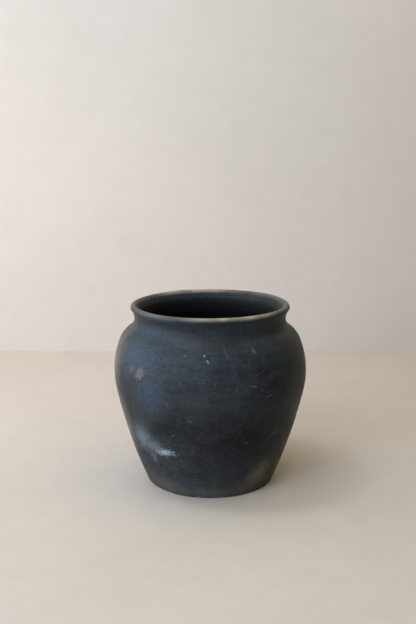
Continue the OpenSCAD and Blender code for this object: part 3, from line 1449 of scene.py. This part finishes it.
@dataclass(frozen=True)
class SoftLight:
    """A large soft panel of light that faces the pot.

    Args:
        name: the light's name.
        azimuth: direction it stands in, in degrees; -90 is towards the viewer.
        elevation: how high it stands, in degrees.
        power: its power in watts.
        colour: its colour.
        distance: how far it is from the middle of the pot.
        side: length of its sides.
        aim: what it points at instead of the pot.
        spread: how wide its beam is, in degrees.
    """

    name: str
    azimuth: float
    elevation: float
    power: float
    colour: tuple[float, float, float]
    distance: float = 1.95
    side: float = 1.3
    aim: tuple[float, float, float] | None = None
    spread: float = 180.0

    def build(self, target: Vector) -> None:
        """Makes the light.

        Args:
            target: the middle of the pot.
        """
        light = bpy.data.lights.new(self.name, "AREA")
        light.shape = "SQUARE"
        light.size = self.side
        light.energy = self.power
        light.color = self.colour
        light.spread = math.radians(self.spread)
        turn, rise = math.radians(self.azimuth), math.radians(self.elevation)
        level = math.cos(rise)
        away = Vector((math.cos(turn) * level, math.sin(turn) * level, math.sin(rise)))
        made = bpy.data.objects.new(self.name, light)
        made.location = target + away * self.distance
        facing = made.location - (target if self.aim is None else Vector(self.aim))
        made.rotation_euler = facing.to_track_quat("Z", "Y").to_euler()
        bpy.context.scene.collection.objects.link(made)


@dataclass
class Studio:
    """Floor, backdrop, lights and camera.

    Args:
        table: finish of the floor.
        wall: finish of the backdrop.
        half_width: half the width of the floor.
        backdrop_at: how far the backdrop stands behind the pot.
        backdrop_half: half the backdrop's width.
        lights: the soft panels.
        camera_back: how far the camera is in front of the pot's axis.
        camera_up: how high the camera is.
        camera_aside: how far the camera is to the right.
        camera_tilt: how far the camera looks down, in degrees.
        lens_mm: its focal length.
        sensor_mm: width of its sensor.
    """

    table: PlasterFinish = PlasterFinish(
        "pale_table", (0.635, 0.560, 0.490, 1.0), (0.585, 0.514, 0.446, 1.0))
    wall: PlasterFinish = PlasterFinish(
        "pale_backdrop", (0.715, 0.648, 0.600, 1.0), (0.675, 0.610, 0.562, 1.0), True)
    half_width: float = 4.0
    backdrop_at: float = 0.692
    backdrop_half: float = 1.3
    lights: tuple[SoftLight, ...] = (
        SoftLight("window", -140, 18, 18.4, (0.85, 0.87, 0.95)),
        SoftLight("near_window", -115, 34, 21.9, (0.58, 0.72, 0.93)),
        SoftLight("far_window", -190, 18, 10.4, (0.98, 0.97, 0.76)),
        SoftLight("high_window", -190, 66, 8.6, (0.87, 0.83, 0.91)),
        SoftLight("warm_room", -15, 60, 8.2, (1.0, 0.85, 0.43)),
        SoftLight("skylight", -175, 68, 5.7, (0.68, 0.88, 0.93), side=0.35),
        SoftLight("ceiling", -130, 88, 4.5, (0.82, 0.89, 0.92)),
        SoftLight("backdrop_wash", -174, 25, 0.95, (1.0, 0.97, 0.93), distance=1.63, side=0.6,
                  aim=(-0.45, 0.69, 0.30), spread=64),
    )
    camera_back: float = 1.1483
    camera_up: float = 0.4706
    camera_aside: float = -0.0029
    camera_tilt: float = 11.766
    lens_mm: float = 50.0
    sensor_mm: float = 36.0

    def build(self, target: Vector) -> None:
        """Makes everything.

        Args:
            target: the middle of the pot.
        """
        floor = self._panel("floor", self.half_width, Matrix.Identity(4), self.table)
        stood = Matrix.Translation((0.0, self.backdrop_at, self.backdrop_half))
        upright = stood @ Euler((math.pi / 2, 0, 0)).to_matrix().to_4x4()
        backdrop = self._panel("backdrop", self.backdrop_half, upright, self.wall)
        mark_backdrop(floor, backdrop)
        for light in self.lights:
            light.build(target)
        self._air()
        self._camera()

    @staticmethod
    def _panel(name: str, half: float, place: Matrix, finish: PlasterFinish) -> bpy.types.Object:
        """Makes a flat square panel.

        Args:
            name: its name.
            half: half its width.
            place: where it goes.
            finish: what it is made of.

        Returns:
            The panel.
        """
        mesh = bmesh.new()
        bmesh.ops.create_grid(mesh, x_segments=1, y_segments=1, size=half, matrix=place)
        data = bpy.data.meshes.new(name)
        mesh.to_mesh(data)
        mesh.free()
        data.materials.append(finish.make())
        made = bpy.data.objects.new(name, data)
        bpy.context.scene.collection.objects.link(made)
        return made

    @staticmethod
    def _air() -> None:
        """Leaves the room dark beyond the panels and shows its colours as they are."""
        world = bpy.data.worlds.new("studio")
        world.use_nodes = True
        world.node_tree.nodes["Background"].inputs["Strength"].default_value = 0.0
        bpy.context.scene.world = world
        bpy.context.scene.view_settings.view_transform = "Standard"

    def _camera(self) -> None:
        """Makes the camera and looks through it."""
        camera = bpy.data.cameras.new("camera")
        camera.lens = self.lens_mm
        camera.sensor_width = self.sensor_mm
        made = bpy.data.objects.new("camera", camera)
        made.location = (self.camera_aside, -self.camera_back, self.camera_up)
        made.rotation_euler = (math.radians(90.0 - self.camera_tilt), 0.0, 0.0)
        bpy.context.scene.collection.objects.link(made)
        bpy.context.scene.camera = made


# ---- Making the pot ----


@dataclass
class ClayPot:
    """The whole pot.

    Args:
        nodes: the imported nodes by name.
        clay: finish of the wall.
        slab_clay: finish of the slab, which took less smoke.
        stacked: the nodes from the foot up.
        flakes: chips struck from lip and foot.
    """

    nodes: dict[str, bpy.types.Object]
    clay: ClayFinish = ClayFinish("smoked_clay")
    slab_clay: ClayFinish = ClayFinish(
        "slab_clay", dark=(0.024, 0.025, 0.025, 1.0), pale=(0.062, 0.062, 0.056, 1.0),
        roughness=0.62)
    stacked: tuple[str, ...] = ("base_slab", "foot_coil", "lower_wall_coil", "upper_wall_coil",
                                "belly_coil", "shoulder_coil", "neck_coil", "lip_coil")
    flakes: tuple[Flake, ...] = (
        Flake(-10, 106.6, 240.5, 0, 7.0, 0.7),
        Flake(52, 103.5, 244.2, 75, 6.0, 0.6),
        Flake(-150, 92.0, 13.0, -22, 26.0, 1.3),
        Flake(-102, 86.2, 0.6, -45, 5.0, 0.9),
        Flake(118, 86.2, 0.6, -45, 6.0, 1.0),
    )

    # No points put into the curved faces, and a longest step that no edge reaches
    UNDIVIDED = (0, 1.0)

    def seams(self) -> tuple[float, ...]:
        """Returns the heights of the seams outside, from the tops of the nodes below them."""
        return tuple(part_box(name)[1].z for name in self.stacked[1:-1])

    def outline(self, top: float) -> Outline:
        """Returns the outside of the pot, from the undivided outlines of all the nodes."""
        sections = [Section(self.nodes[name], *self.UNDIVIDED) for name in self.stacked]
        return Outline([edge for section in sections for edge in section.edges], top)

    def build(self) -> list[bpy.types.Object]:
        """Makes and dresses every piece."""
        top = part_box(self.stacked[-1])[1].z
        hands = HandWork(top, self.seams(), self.flakes)
        bench = Bench(self.nodes, hands, self.outline(top), ClayEffects())
        made = Foot(bench, self.clay, self.slab_clay).build()
        made += Belly(bench, self.clay).build()
        made += Mouth(bench, self.clay).build()
        return made


def main() -> None:
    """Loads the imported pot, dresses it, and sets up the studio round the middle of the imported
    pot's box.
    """
    logging.basicConfig(level=logging.INFO, format="%(message)s")
    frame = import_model()
    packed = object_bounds()
    pieces = ClayPot(frame["nodes"]).build()
    low, high = packed
    Studio().build((low + high) / 2.0)


if __name__ == "__main__":
    main()
